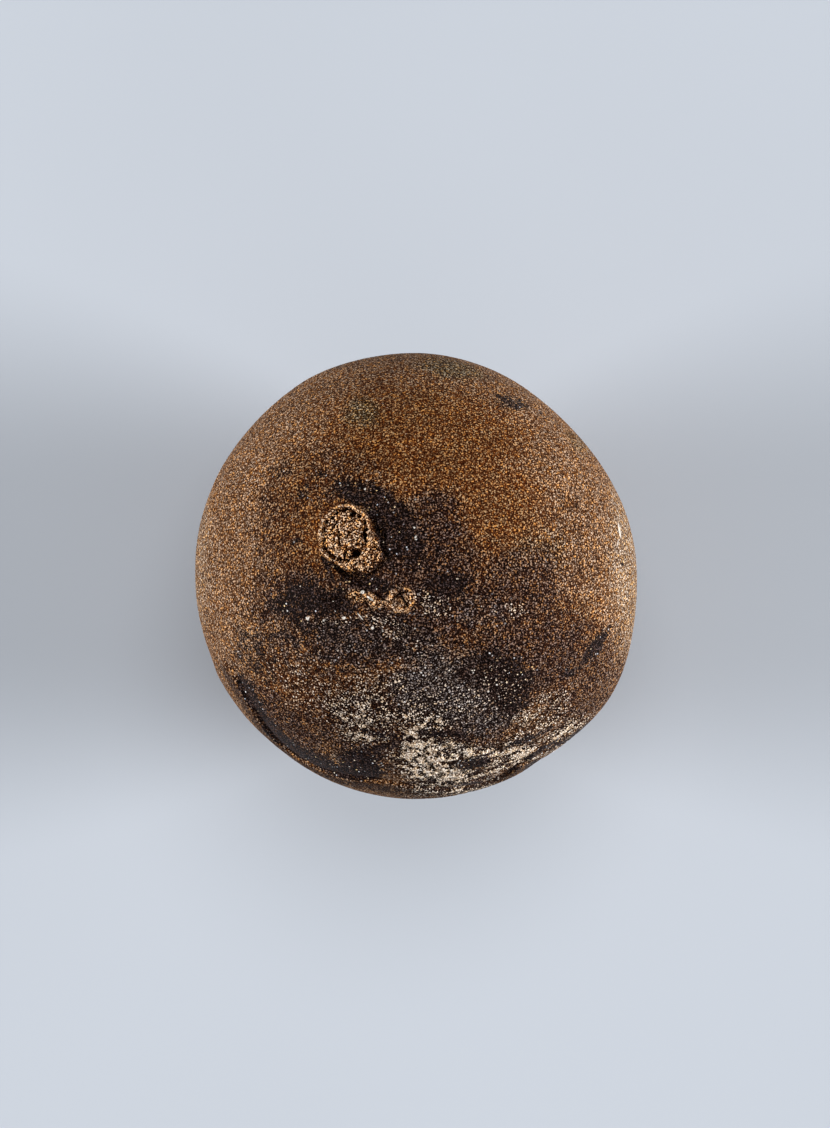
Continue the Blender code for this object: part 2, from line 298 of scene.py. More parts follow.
DUSTS = {
    "main crust": (1.2 * MM, -9.0 * MM, 2.6 * MM, 1.15 * MM, -4, 1.0),
    "above the crust": (-0.2 * MM, -6.7 * MM, 0.9 * MM, 0.9 * MM, 0, 0.58),
    "upper crust": (0.1 * MM, -8.0 * MM, 1.7 * MM, 0.80 * MM, 44, 0.95),
    "left mottling": (-2.6 * MM, -6.5 * MM, 2.1 * MM, 1.1 * MM, -20, 0.62),
    "lower mottling": (-2.5 * MM, -7.6 * MM, 1.5 * MM, 0.70 * MM, -22, 0.78),
    "above the mottling": (-1.8 * MM, -5.3 * MM, 1.5 * MM, 0.8 * MM, -14, 0.46),
    "lower left": (-5.2 * MM, -5.3 * MM, 2.0 * MM, 1.3 * MM, -30, 0.36),
    "on the grey field": (1.6 * MM, -6.4 * MM, 2.0 * MM, 0.9 * MM, -10, 0.31),
    "right crust": (4.3 * MM, -8.60 * MM, 2.2 * MM, 0.85 * MM, 20, 0.78),
    "bottom edge": (2.0 * MM, -10.1 * MM, 2.6 * MM, 0.50 * MM, 4, 0.64),
    "bright flecks": (3.4 * MM, -8.45 * MM, 0.80 * MM, 0.32 * MM, -8, 1.0),
    "pale flake": (5.2 * MM, -8.75 * MM, 0.60 * MM, 0.28 * MM, 25, 1.0),
    "far right crust": (6.9 * MM, -7.9 * MM, 1.8 * MM, 0.66 * MM, 38, 0.74),
    "pinkish dust": (5.9 * MM, -6.7 * MM, 1.7 * MM, 0.9 * MM, 30, 0.50),
    "by the side scars": (0.5 * MM, -1.35 * MM, 1.0 * MM, 0.55 * MM, -10, 0.55),
    "below the side scars": (-1.3 * MM, -2.5 * MM, 1.2 * MM, 0.6 * MM, -30, 0.44),
    "below the pocket": (-3.9 * MM, -2.2 * MM, 1.3 * MM, 0.35 * MM, 8, 0.42),
    "on the blotch": (3.9 * MM, -5.5 * MM, 1.4 * MM, 1.1 * MM, -60, 0.25),
    "small pale spot": (4.6 * MM, -1.75 * MM, 0.6 * MM, 0.4 * MM, 0, 0.46),
}
WARMS = {
    "whole middle": (0.1 * MM, 1.6 * MM, 6.2 * MM, 8.0 * MM, 0, 0.80),
    "upper middle": (0.4 * MM, 6.4 * MM, 5.0 * MM, 2.8 * MM, -6, 1.0),
    "round the stalk scar": (-4.9 * MM, 2.6 * MM, 2.2 * MM, 3.4 * MM, 0, 1.0),
    "right of the stain": (3.4 * MM, 2.6 * MM, 3.0 * MM, 3.2 * MM, 0, 0.9),
    "lower right": (6.4 * MM, -3.2 * MM, 2.6 * MM, 2.6 * MM, 0, 0.9),
    "lower left": (-5.2 * MM, -5.0 * MM, 3.0 * MM, 2.6 * MM, -20, 0.8),
}
BROWNS = {
    "middle": (0.2 * MM, -0.6 * MM, 4.2 * MM, 3.1 * MM, -20, 0.97),
    "right of the stain": (0.7 * MM, 2.0 * MM, 1.8 * MM, 2.1 * MM, 0, 0.92),
    "right of the middle": (4.8 * MM, -0.9 * MM, 2.7 * MM, 2.6 * MM, 0, 0.80),
    "lower right": (5.4 * MM, -3.8 * MM, 3.4 * MM, 2.4 * MM, 10, 0.88),
    "right edge below": (7.8 * MM, -5.4 * MM, 1.4 * MM, 3.0 * MM, -38, 0.74),
    "right side": (7.3 * MM, 0.6 * MM, 1.6 * MM, 3.6 * MM, 0, 0.32),
    "lower left": (-5.0 * MM, -4.2 * MM, 3.4 * MM, 2.6 * MM, -30, 0.56),
    "below the pocket": (-3.2 * MM, -3.2 * MM, 2.5 * MM, 1.4 * MM, -10, 0.92),
    "lower edge": (-0.4 * MM, -7.2 * MM, 6.2 * MM, 2.4 * MM, -6, 0.85),
    "left of the side scars": (-5.6 * MM, -1.2 * MM, 2.6 * MM, 1.8 * MM, 0, 0.80),
    "left of the stalk scar": (-6.5 * MM, 2.0 * MM, 1.5 * MM, 3.0 * MM, 0, 0.46),
    "above the stalk scar": (-3.6 * MM, 4.4 * MM, 2.8 * MM, 1.7 * MM, -20, 0.50),
    "crease side": (-6.6 * MM, -6.9 * MM, 3.6 * MM, 0.9 * MM, -44, 0.85),
    "bottom edge": (2.0 * MM, -10.1 * MM, 3.0 * MM, 0.55 * MM, 4, 1.0),
}
# Stains on the hidden side: azimuth and elevation in degrees, half-width, strength
HIDDEN_STAINS = {
    "behind": (98, -24, 2.2 * MM, 0.55),
    "far left": (196, -30, 1.8 * MM, 0.60),
    "under the right": (-12, -38, 2.6 * MM, 0.50),
    "lower front": (-80, -30, 2.4 * MM, 0.60),
    "small one": (150, -12, 0.9 * MM, 0.65),
    "beside the flat": (60, -66, 2.0 * MM, 0.50),
}
# Painted light: paler skin on the right and left rims, where the side lamps fall, more on the right
PAINTED_RIM_LIGHT = {
    "right rim": (10.5 * MM, 0.6 * MM, 1.1 * MM, 4.6 * MM, 0, 0.9),
    "left rim": (-10.6 * MM, 1.0 * MM, 0.7 * MM, 4.0 * MM, 0, 0.5),
}
# Painted highlights: bright specks that stand out singly
PAINTED_HIGHLIGHTS = {
    "on the ridge": (-2.57 * MM, -0.80 * MM, 0.10 * MM, 0.08 * MM, 0, 1.0),
    "on the ridge's crest": (-2.20 * MM, -1.08 * MM, 0.20 * MM, 0.05 * MM, -35, 0.9),
    "below the pocket": (-3.50 * MM, -2.05 * MM, 0.08 * MM, 0.07 * MM, 0, 1.0),
    "left of it": (-4.45 * MM, -2.15 * MM, 0.07 * MM, 0.06 * MM, 0, 0.9),
    "further left": (-5.18 * MM, -2.05 * MM, 0.08 * MM, 0.06 * MM, 20, 1.0),
    "below the ridge": (-2.14 * MM, -2.55 * MM, 0.08 * MM, 0.07 * MM, 0, 0.9),
    "streak below the ridge": (-2.72 * MM, -1.98 * MM, 0.26 * MM, 0.04 * MM, -52, 0.7),
    "right of the stalk scar": (-0.13 * MM, 2.30 * MM, 0.07 * MM, 0.06 * MM, 0, 0.9),
    "lower right of it": (-0.05 * MM, 1.84 * MM, 0.10 * MM, 0.05 * MM, 60, 0.8),
    "upper right of it": (-0.13 * MM, 3.62 * MM, 0.06 * MM, 0.06 * MM, 0, 0.9),
    "in the dark corner": (-2.45 * MM, 4.10 * MM, 0.06 * MM, 0.06 * MM, 0, 0.9),
    "scratch at the right": (9.82 * MM, 2.15 * MM, 0.50 * MM, 0.07 * MM, 97, 0.54),
    "second scratch there": (9.70 * MM, 1.55 * MM, 0.30 * MM, 0.06 * MM, 75, 0.46),
}

# Where a mask is gone and where it is full: a patch in shares of its half-length, the
# patches of the upper side and the underside in heights of a unit ball
PATCH_EDGE = (1.5, 0.5)
HIDDEN_STAIN_EDGE = (1.6, 0.6)
UPPER_SIDE = (-0.25, 0.0)
UNDERSIDE = (0.20, -0.20)
MASK_SHOWS = 0.02
PATCH_WARP = 0.045
PATCH_WARP_SIZE = 1.4 * MM
PATCH_WARP_SEEDS = (1.7, 14.3, 31.9)
WARM_UNDERSIDE = 0.85
WARM_UNDERSIDE_SIZE = 6.0 * MM
WARM_UNDERSIDE_CONTRAST = 1.6

# Painted shade in a dark band above the crease, which starts, widens and ends at azimuths in
# degrees, and the smoother band of skin below it
CREASE_SHADE_STARTS = (206, 214)
CREASE_SHADE_WIDENS = (215, 255)
CREASE_SHADE_ENDS = (266, 256)
CREASE_SHADE_WIDTH = 2.8 * MM
CREASE_SHADE_EDGE = 0.12 * MM
BAND_HEIGHT = 1.5 * MM
BAND_EDGE = 0.15 * MM
BAND_FADE = (-1.4, -0.4)
BAND_CLEARS_STAIN_AND_SHADE = 0.8
SHADOW_CLEARS_DUST = 0.9

# How corky the pieces of the scars are, and how flaky
SHOULDER_CORK = 0.34
SHOULDER_SIDE_CORK = 0.42
RIM_CORK = 0.45
CARPEL_CORK = 0.48
RIDGE_CORK = 0.90
RIM_FLAKES = 0.30
SHOULDER_FLAKES = 0.40

FAR_AWAY = 1.0


def unit(vector):
    return np.asarray(vector, float) / np.linalg.norm(vector)


def smooth_step(share):
    share = np.clip(share, 0.0, 1.0)
    return share * share * (3.0 - 2.0 * share)


def rise(value, start, full):
    """From 0 where the value is at its start to 1 where it is full, which may be lower."""
    return smooth_step((value - start) / (full - start))


def bell(distance):
    return np.exp(-(distance**2))


def waves(points, size, seed=0.0):
    """Smooth noise from about -1 to 1, with lumps of the given size."""
    return np.array([noise.noise(Vector(p)) for p in points / size + seed])


def cells(points, size):
    """Distance to the middle of the nearest cell of a loose packing, in cell widths."""
    return np.array([noise.voronoi(Vector(p))[0][0] for p in points / size])


def spot_direction(x, y):
    """Outward direction of the place that lies at x, y when the seed is seen from above."""
    height = math.sqrt(HALF_X**2 - x**2 - y**2)
    return unit((x, y, height))


def around_spot(directions, x, y, turn=0.0):
    """Distances to the right of and beyond a spot, along the surface, turned by an angle."""
    out = spot_direction(x, y)
    right = unit(np.cross((0.0, 1.0, 0.0), out))
    beyond = np.cross(out, right)
    u = HALF_X * directions @ right
    v = HALF_X * directions @ beyond
    hidden = directions @ out < 0.0
    u = np.where(hidden, FAR_AWAY, u)
    v = np.where(hidden, FAR_AWAY, v)
    angle = math.radians(turn)
    along = u * math.cos(angle) + v * math.sin(angle)
    across = v * math.cos(angle) - u * math.sin(angle)
    return along, across


def hollow(directions, x, y, half_length, half_width, turn, depth):
    """A rounded dent or pit, turned about its own middle."""
    along, across = around_spot(directions, x, y, turn)
    return -depth * bell(np.hypot(along / half_length, across / half_width))


def body_radius(directions):
    scaled = directions / np.array((HALF_X, HALF_Y, HALF_Z))
    return 1.0 / np.linalg.norm(scaled, axis=1)


def angle_from(directions, azimuth, elevation):
    a = math.radians(azimuth)
    e = math.radians(elevation)
    middle = np.array((math.cos(a) * math.cos(e), math.sin(a) * math.cos(e), math.sin(e)))
    return np.arccos(np.clip(directions @ middle, -1.0, 1.0))


def wander(u, v, rows):
    """How far an edge round a middle strays inwards, by waves round it."""
    angle = np.arctan2(v, u)
    return sum(reach * np.sin(times * angle + phase) for reach, times, phase in rows)


def outside_ring_by(u, v):
    """Distance outside the crest of the stalk scar's ring, which wanders a little."""
    from_ring = (np.hypot(u / RING_HALF_X, v / RING_HALF_Y) - 1.0) * RING_HALF_X
    return from_ring + wander(u, v, RING_WANDER)


def outside_shoulder_by(u, v):
    """Distance outside the edge of the stalk scar's shoulder, which wanders too."""
    right, beyond = u - SHOULDER_X, v - SHOULDER_Y
    return np.hypot(right, beyond) - SHOULDER_RADIUS + wander(right, beyond, SHOULDER_WANDER)


def stalk_parts(directions):
    """How much of each place is the scar's ring, its shoulder, and the shoulder's corky side."""
    u, v = around_spot(directions, STALK_X, STALK_Y)
    inside = smooth_step((RIM_WIDTH - outside_ring_by(u, v)) / (2.0 * RIM_WIDTH))
    shoulder = smooth_step(0.5 - outside_shoulder_by(u, v) / GAP_WIDTH) * (1.0 - inside)
    to_side = (u * CORKY_SIDE[0] + v * CORKY_SIDE[1]) / RING_HALF_X
    return inside, shoulder, shoulder * rise(to_side, *CORKY_SIDE_REACH)


def stalk_scar(directions):
    """The pad, its ring with a trench of small pits inside, and the shoulder beside it."""
    u, v = around_spot(directions, STALK_X, STALK_Y)
    from_rim = outside_ring_by(u, v)
    angle = np.arctan2(v, u)
    pad = PAD_HEIGHT * smooth_step((RIM_WIDTH - from_rim) / (2.0 * RIM_WIDTH))
    rim = RIM_HEIGHT * bell(from_rim / RIM_WIDTH)
    pit_angle = TRENCH_PITS * angle + TRENCH_PIT_SHIFT * np.sin(3.0 * angle)
    in_pits = (0.5 + 0.5 * np.cos(pit_angle)) ** PIT_SHARPNESS
    swell = np.sin(5.0 * angle + 0.8) * np.sin(2.0 * angle + 2.0)
    uneven = 1.0 - TRENCH_UNEVENNESS + TRENCH_UNEVENNESS * swell
    share = TRENCH_BETWEEN_PITS + (1.0 - TRENCH_BETWEEN_PITS) * in_pits * uneven
    trench = TRENCH_DEPTH * share * bell((from_rim + TRENCH_INSET) / TRENCH_WIDTH)
    from_shoulder = outside_shoulder_by(u, v)
    shoulder = SHOULDER_HEIGHT * smooth_step(0.5 - from_shoulder / GAP_WIDTH)
    outside_ring = smooth_step(from_rim / RIM_WIDTH)
    to_side = (u * GAP_SIDE[0] + v * GAP_SIDE[1]) / SHOULDER_RADIUS
    on_side = smooth_step(GAP_START + to_side)
    gap = GAP_DEPTH * on_side * bell((from_shoulder - GAP_WIDTH) / GAP_WIDTH)
    return pad + rim - trench + outside_ring * (shoulder - gap)


def stalk_pits(directions):
    depth = np.zeros(len(directions))
    for x, y, half_length, half_width, turn, pit_depth in STALK_PITS.values():
        depth += hollow(
            directions, STALK_X + x, STALK_Y + y, half_length, half_width, turn, pit_depth
        )
    return depth


def carpel_parts(directions):
    """How much of each place is the round scar's rim, its inside, and the ridge."""
    u, v = around_spot(directions, CARPEL_X, CARPEL_Y)
    from_rim = np.hypot(u, v) - CARPEL_RADIUS + wander(u, v, CARPEL_WANDER)
    to_high_side = np.cos(np.arctan2(v, u) - math.radians(CARPEL_HIGH_SIDE))
    standing = 1.0 - CARPEL_RIM_TILT + CARPEL_RIM_TILT * to_high_side
    rim = standing * bell(from_rim / CARPEL_RIM_WIDTH)
    inside = smooth_step(-from_rim / CARPEL_RIM_WIDTH)
    along, across = around_spot(directions, RIDGE_X, RIDGE_Y, RIDGE_TURN)
    across = across + RIDGE_WANDER * np.sin(along / RIDGE_WANDER_LENGTH)
    ridge = bell(np.hypot(along / RIDGE_HALF_LENGTH, across / RIDGE_HALF_WIDTH))
    return rim, inside, ridge


def carpel_scars(directions):
    rim, _, ridge = carpel_parts(directions)
    height = CARPEL_RIM * rim + RIDGE_HEIGHT * ridge
    for pit in CARPEL_PITS.values():
        height += hollow(directions, *pit)
    return height


def azimuth_elevation(directions):
    azimuth = np.degrees(np.arctan2(directions[:, 1], directions[:, 0])) % 360.0
    elevation = np.degrees(np.arcsin(np.clip(directions[:, 2], -1.0, 1.0)))
    return azimuth, elevation


def crease_distance(directions):
    """Distance above the crease, along the surface, and how far round the edge it is in force."""
    azimuth, elevation = azimuth_elevation(directions)
    turns = (azimuth - CREASE_CREST) / CREASE_WAVE_LENGTH
    line = CREASE_ELEVATION + CREASE_WAVE * np.cos(2.0 * math.pi * turns)
    starts = rise(azimuth, CREASE_FROM, CREASE_FROM + CREASE_FADE)
    ends = rise(azimuth, CREASE_TO, CREASE_TO - CREASE_FADE)
    return HALF_X * np.radians(elevation - line), starts * ends


def crease(directions):
    above, in_force = crease_distance(directions)
    groove = CREASE_GROOVE * bell((above - CREASE_WIDTH) / CREASE_WIDTH)
    below = smooth_step(0.5 - above / CREASE_WIDTH)
    near_edge = rise(directions[:, 2], *SKIN_STEP_HEIGHTS)
    return in_force * (SKIN_STEP * below * near_edge - groove)


def solid_radius(directions):
    """Distance of the solid's surface from the middle of the seed in each direction."""
    radius = body_radius(directions)
    for azimuth, elevation, half_width, height in SWELLS.values():
        apart = angle_from(directions, azimuth, elevation)
        radius += height * bell(apart / math.radians(half_width))
    for dent in DENTS.values():
        radius += hollow(directions, *dent)
    radius += stalk_scar(directions) + stalk_pits(directions)
    radius += carpel_scars(directions) + crease(directions)
    return radius


def patch(directions, x, y, half_length, half_width, turn, strength):
    """A patch with soft edges, as seen from above, which fades out below the widest plane."""
    dx = HALF_X * directions[:, 0] - x
    dy = HALF_X * directions[:, 1] - y
    angle = math.radians(turn)
    along = dx * math.cos(angle) + dy * math.sin(angle)
    across = dy * math.cos(angle) - dx * math.sin(angle)
    apart = np.hypot(along / half_length, across / half_width)
    return strength * rise(directions[:, 2], *UPPER_SIDE) * rise(apart, *PATCH_EDGE)


def patches(directions, table):
    found = np.zeros(len(directions))
    for entry in table.values():
        found = np.maximum(found, patch(directions, *entry))
    return found


def warped(directions):
    """The directions moved about a little, so that the patches get uneven edges."""
    places = directions * HALF_X
    moves = [waves(places, PATCH_WARP_SIZE, seed) for seed in PATCH_WARP_SEEDS]
    moved = directions + PATCH_WARP * np.stack(moves, axis=1)
    return moved / np.linalg.norm(moved, axis=1)[:, None]


def layer_places(directions):
    """Places for noise that is stretched along the lower edge, like thin layers of skin."""
    azimuth, elevation = azimuth_elevation(directions)
    tilt = LAYER_SLOPE * (azimuth - LAYERS_LEVEL_AT)
    along = HALF_X * np.radians(azimuth) / LAYER_LENGTH
    across = HALF_X * np.radians(elevation + tilt) / LAYER_HEIGHT
    return np.stack((along, across, np.zeros(len(along))), axis=1)


def crease_masks(directions):
    """How much of each place is the painted shade above the crease, and the skin below it."""
    above, in_force = crease_distance(directions)
    azimuth, _ = azimuth_elevation(directions)
    lower_left = rise(azimuth, *CREASE_SHADE_STARTS) * rise(azimuth, *CREASE_SHADE_ENDS)
    wide = 0.5 + 0.5 * rise(azimuth, *CREASE_SHADE_WIDENS)
    inner_edge = rise(above / (CREASE_SHADE_WIDTH * wide), *PATCH_EDGE)
    dark = lower_left * rise(above, 0.0, CREASE_SHADE_EDGE) * inner_edge
    below = in_force * rise(-above, 0.0, BAND_EDGE)
    return dark, below * rise(above / BAND_HEIGHT, *BAND_FADE)


def scar_masks(directions):
    """How corky and how flaky each place is."""
    ring, shoulder, corky_side = stalk_parts(directions)
    rim, inside, ridge = carpel_parts(directions)
    flakes = patch(directions, *RIDGE_FLAKES)
    on_shoulder = SHOULDER_CORK * shoulder + SHOULDER_SIDE_CORK * corky_side
    on_side_scars = RIM_CORK * rim + CARPEL_CORK * inside + RIDGE_CORK * ridge + flakes
    flaky = ridge + flakes + RIM_FLAKES * rim + SHOULDER_FLAKES * shoulder
    return np.clip(ring + on_shoulder + on_side_scars, 0.0, 1.0), np.clip(flaky, 0.0, 1.0)


def hidden_stains(directions):
    found = np.zeros(len(directions))
    for azimuth, elevation, half_width, strength in HIDDEN_STAINS.values():
        apart = angle_from(directions, azimuth, elevation) * HALF_X
        found = np.maximum(found, strength * rise(apart / half_width, *HIDDEN_STAIN_EDGE))
    return found


def warm_underside(directions):
    lumps = waves(directions * HALF_X, WARM_UNDERSIDE_SIZE)
    warm = WARM_UNDERSIDE * smooth_step(0.5 + WARM_UNDERSIDE_CONTRAST * lumps)
    return warm * rise(directions[:, 2], *UNDERSIDE)


def skin_masks(directions):
    """How strongly each kind of colour shows at each point, from 0 to 1."""
    moved = warped(directions)
    crease_shade, band = crease_masks(moved)
    scar, flaky = scar_masks(directions)
    off_scar = 1.0 - scar
    # The painted shadows in the crust and the painted shade above the crease
    shadow = np.maximum(patches(moved, SHADOWS), crease_shade)
    # Stains and painted shade together: the stains, the painted shade in the folds and hollows, and
    # the painted shadows
    stain = np.maximum(patches(moved, STAINS_AND_SHADE), patches(directions, FOLD_SHADE))
    stain = np.maximum(np.maximum(stain, hidden_stains(moved)), shadow)
    dust = patches(moved, DUSTS) * (1.0 - SHADOW_CLEARS_DUST * shadow)
    return {
        "stain": stain * (1.0 - BAND_CLEARS_STAIN_AND_SHADE * band) * off_scar,
        "grey": patches(moved, GREYS) * off_scar,
        "olive": patches(moved, OLIVES),
        "dust": dust * off_scar,
        "warm": np.maximum(patches(moved, WARMS), warm_underside(directions)),
        "brown": patches(moved, BROWNS),
        # painted light on the rims
        "pale": patches(moved, PAINTED_RIM_LIGHT),
        "glint": patches(directions, PAINTED_HIGHLIGHTS),
        "band": band,
        "scar": scar,
        "ridge": flaky,
    }


def cork_relief(directions, masks):
    """Lumps of cork on the scars, and jagged flakes on the ridge."""
    places = directions * HALF_X
    relief = np.zeros(len(directions))
    cork = np.flatnonzero(masks["scar"] > MASK_SHOWS)
    lumps = cells(places[cork], CORK_SIZE)
    fine = 0.5 + 0.5 * waves(places[cork], FINE_CORK_SIZE, CORK_SEED)
    rough = CORK_LUMPS * lumps + CORK_FINENESS * fine
    relief[cork] -= CORK_DEPTH * masks["scar"][cork] * rough
    flaky = np.flatnonzero(masks["ridge"] > MASK_SHOWS)
    jagged = np.abs(waves(places[flaky], FLAKE_SIZE, FLAKE_SEED))
    relief[flaky] -= FLAKE_DEPTH * masks["ridge"][flaky] * jagged
    return relief


def two_waves(points, size, seeds):
    """Noise of a size, with more of half that size on it."""
    return waves(points, size, seeds[0]) + HALF_SIZE_SHARE * waves(points, 0.5 * size, seeds[1])


def crust_height(directions, masks):
    """How high the crust stands, from 0 in its gaps to 1 on its flakes: lumps, then thin layers."""
    height = np.full(len(directions), 0.5)
    dusty = np.flatnonzero(masks["dust"] > MASK_SHOWS)
    lumps = two_waves(directions[dusty] * HALF_X, CRUST_SIZE, CRUST_SEEDS)
    layers = two_waves(layer_places(directions[dusty]), 1.0, LAYER_SEEDS)
    azimuth, _ = azimuth_elevation(directions[dusty])
    share = LEAST_LAYERED + MORE_LAYERED * rise(azimuth, *LAYERED_AZIMUTHS)
    mixed = (1.0 - share) * lumps + LAYER_CONTRAST * share * layers
    height[dusty] = smooth_step(0.5 + CRUST_CONTRAST * mixed)
    return height


def fine_relief(directions, masks):
    """What the fine surface takes off the solid besides the cork: unevenness and crust."""
    places = directions * HALF_X
    relief = np.zeros(len(directions))
    for size, depth in UNEVEN:
        relief -= depth * (0.5 + 0.5 * waves(places, size))
    return relief - masks["dust"] * CRUST_DEPTH * (1.0 - masks["crust"])


def scar_height(directions, cork):
    """How high each point of the scars stands over their floor, from 0 in a pit to 1 on a rim."""
    ring, shoulder, _ = stalk_parts(directions)
    floor = PAD_HEIGHT * ring + SHOULDER_HEIGHT * shoulder
    shape = stalk_scar(directions) + stalk_pits(directions) + carpel_scars(directions) + cork
    return np.clip(SCAR_FLOOR_TONE + (shape - floor) / SCAR_TONE_RANGE, 0.0, 1.0)


def is_near(directions, areas):
    near = np.zeros(len(directions), bool)
    for x, y, reach in areas:
        u, v = around_spot(directions, x, y)
        near |= np.hypot(u, v) < reach
    return near


def in_crust_area(directions):
    azimuth, elevation = azimuth_elevation(directions)
    first, last, lowest, highest = CRUST_AREA
    in_reach = (azimuth > first) & (azimuth < last)
    above, in_force = crease_distance(directions)
    on_crease = (np.abs(above) < CREASE_BAND) & (in_force > 0.0)
    return (in_reach & (elevation > lowest) & (elevation < highest)) | on_crease


def split_where(ball, wanted):
    """Splits each edge whose middle is in a wanted place, and keeps all faces triangles."""
    edges = list(ball.edges)
    middles = np.array([(e.verts[0].co + e.verts[1].co).normalized() for e in edges])
    chosen = [edge for edge, near in zip(edges, wanted(middles)) if near]
    bmesh.ops.subdivide_edges(ball, edges=chosen, cuts=1, use_grid_fill=True)
    bmesh.ops.triangulate(ball, faces=ball.faces[:])


def make_ball():
    ball = bmesh.new()
    bmesh.ops.create_icosphere(ball, subdivisions=BALL_SUBDIVISIONS, radius=1.0)
    split_where(ball, in_crust_area)
    for areas in SCAR_AREAS:
        split_where(ball, lambda directions, areas=areas: is_near(directions, areas))
    return ball


def fit_to_solid(points):
    """Stands the points on their flat spot and keeps them inside the solid's own box."""
    low, high = np.array(CAD_BOX[0]), np.array(CAD_BOX[1])
    middle = (points.min(axis=0) + points.max(axis=0)) / 2.0
    points[:, :2] += ((low + high) / 2.0 - middle)[:2]
    points[:, 2] += HALF_Z - FLAT_DEPTH
    return np.clip(points, low, high)


def make_skin():
    ball = make_ball()
    directions = np.array([vertex.co.normalized() for vertex in ball.verts])
    masks = skin_masks(directions)
    masks["crust"] = crust_height(directions, masks)
    cork = cork_relief(directions, masks)
    radius = solid_radius(directions) + fine_relief(directions, masks) + cork
    masks["height"] = scar_height(directions, cork)
    points = fit_to_solid(directions * radius[:, None])
    for vertex, point in zip(ball.verts, points):
        vertex.co = point
    bmesh.ops.recalc_face_normals(ball, faces=ball.faces[:])
    mesh = bpy.data.meshes.new("seed_coat")
    ball.to_mesh(mesh)
    ball.free()
    mesh.shade_smooth()
    for name, values in masks.items():
        store(mesh, name, values)
    return mesh


def store(mesh, name, values):
    attribute = mesh.attributes.new(name, "FLOAT", "POINT")
    attribute.data.foreach_set("value", values.astype(np.float32))


class Shader:
    """Short names for the nodes of one material."""

    def __init__(self, name):
        self.material = bpy.data.materials.new(name)
        self.material.use_nodes = True
        self.tree = self.material.node_tree
        self.tree.nodes.clear()
        self.surface = self.node("ShaderNodeBsdfPrincipled")
        output = self.node("ShaderNodeOutputMaterial")
        self.tree.links.new(self.surface.outputs[0], output.inputs["Surface"])
        self.place = self.node("ShaderNodeTexCoord").outputs["Object"]

    def node(self, kind, inputs=(), **settings):
        made = self.tree.nodes.new(kind)
        for name, value in settings.items():
            setattr(made, name, value)
        for key, value in dict(inputs).items():
            self.feed(made.inputs[key], value)
        return made

    def feed(self, socket, value):
        if isinstance(value, bpy.types.NodeSocket):
            self.tree.links.new(value, socket)
        else:
            socket.default_value = value

    def math(self, operation, first, second=0.0, clamp=False):
        inputs = {0: first, 1: second}
        made = self.node("ShaderNodeMath", inputs, operation=operation, use_clamp=clamp)
        return made.outputs[0]

    def add(self, first, second, clamp=False):
        return self.math("ADD", first, second, clamp)

    def subtract(self, first, second, clamp=False):
        return self.math("SUBTRACT", first, second, clamp)

    def multiply(self, first, second):
        return self.math("MULTIPLY", first, second)

    def larger(self, first, second):
        return self.math("MAXIMUM", first, second)

    def ramp(self, value, low, high, to_low=0.0, to_high=1.0):
        inputs = {0: value, 1: low, 2: high, 3: to_low, 4: to_high}
        made = self.node("ShaderNodeMapRange", inputs, interpolation_type="SMOOTHSTEP")
        return made.outputs[0]

    def mask(self, name):
        made = self.node("ShaderNodeAttribute", attribute_name=name, attribute_type="GEOMETRY")
        return made.outputs["Fac"]

    def noise(self, size, detail=2.0, roughness=0.5):
        inputs = {
            "Vector": self.place,
            "Scale": 1.0 / size,
            "Detail": detail,
            "Roughness": roughness,
        }
        return self.node("ShaderNodeTexNoise", inputs)

    def cells(self, size, place=None):
        inputs = {"Vector": place or self.place, "Scale": 1.0 / size}
        return self.node("ShaderNodeTexVoronoi", inputs)

    def blend(self, tone, places, colours):
        """A colour that runs through several, each at its own place, as the tone rises."""
        made = self.node("ShaderNodeValToRGB", {0: tone})
        steps = made.color_ramp.elements
        while len(steps) < len(places):
            steps.new(1.0)
        for step, place, colour in zip(steps, places, colours):
            step.position = place
            step.color = (*colour, 1.0)
        return made.outputs[0]

    def grade(self, tone, colours):
        """A colour from crevice through shade and common tone to bright grain."""
        crevice, common, bright = colours
        shade = [part * share for part, share in zip(common, SHADE_SHARES)]
        return self.blend(tone, GRADE_PLACES, (crevice, shade, common, bright))

    def mix(self, share, first, second, blend="MIX"):
        inputs = {0: share, 6: first, 7: second}
        made = self.node("ShaderNodeMix", inputs, data_type="RGBA", blend_type=blend)
        return made.outputs[2]

    def plain(self, value):
        """A colour with all three parts alike, to lighten or darken another by."""
        return self.node("ShaderNodeCombineColor", {0: value, 1: value, 2: value}).outputs[0]

    def vector(self, operation, inputs):
        return self.node("ShaderNodeVectorMath", inputs, operation=operation).outputs[0]

    def shifted(self, size, reach):
        """The place moved about by noise of a size, so that cells get uneven shapes."""
        moves = self.noise(size, detail=1.0).outputs["Color"]
        centred = self.vector("SUBTRACT", {0: moves, 1: (0.5, 0.5, 0.5)})
        scaled = self.vector("SCALE", {0: centred, 3: reach})
        return self.vector("ADD", {0: self.place, 1: scaled})


# Linear colours: of the crevices, of the common tone, and of the brightest grains
GRADE_PLACES = (0.04, 0.30, 0.56, 0.96)
SHADE_SHARES = (0.48, 0.36, 0.22)
SKIN = ((0.012, 0.003, 0.0005), (0.128, 0.060, 0.027), (0.600, 0.385, 0.230))
